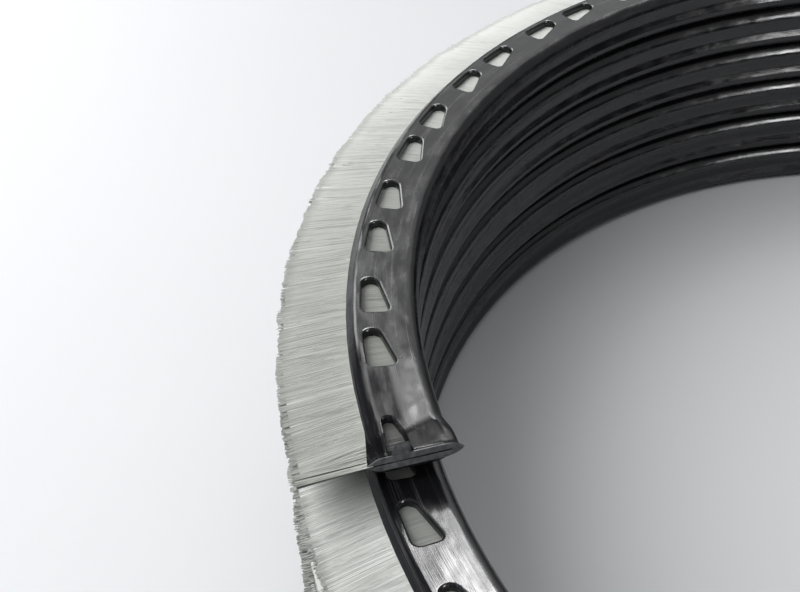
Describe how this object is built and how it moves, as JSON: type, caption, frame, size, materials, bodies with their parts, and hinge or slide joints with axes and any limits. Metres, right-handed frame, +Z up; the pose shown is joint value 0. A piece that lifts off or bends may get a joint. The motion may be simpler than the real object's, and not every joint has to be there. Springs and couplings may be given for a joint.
{
  "type": "brush seal strip",
  "caption": "Flexible brush seal strip wound in a close coil: a black hollow plastic carrier with paired windows grips a continuous white nylon bristle pack that points outwards.",
  "frame": {"origin": "centre of the coil's axis, on the plane that the coil lies on", "axes": "+Z up along the coil's axis, from the bottom turn to the top turn. The strip climbs anticlockwise seen from above. Its cut upper end is at 236 degrees and its lower end at 332 degrees, both anticlockwise from +X"},
  "size_m": [0.2976, 0.2976, 0.065],
  "materials": {
    "carrier_plastic": "black moulded plastic with a soft sheen and fine lengthwise scuffs",
    "nylon_bristle": "natural white nylon filament, slightly see-through"
  },
  "bodies": {
    "root": {"carrier_strip": "carrier_plastic", "bristle_pack": "nylon_bristle"}
  },
  "joints": []
}
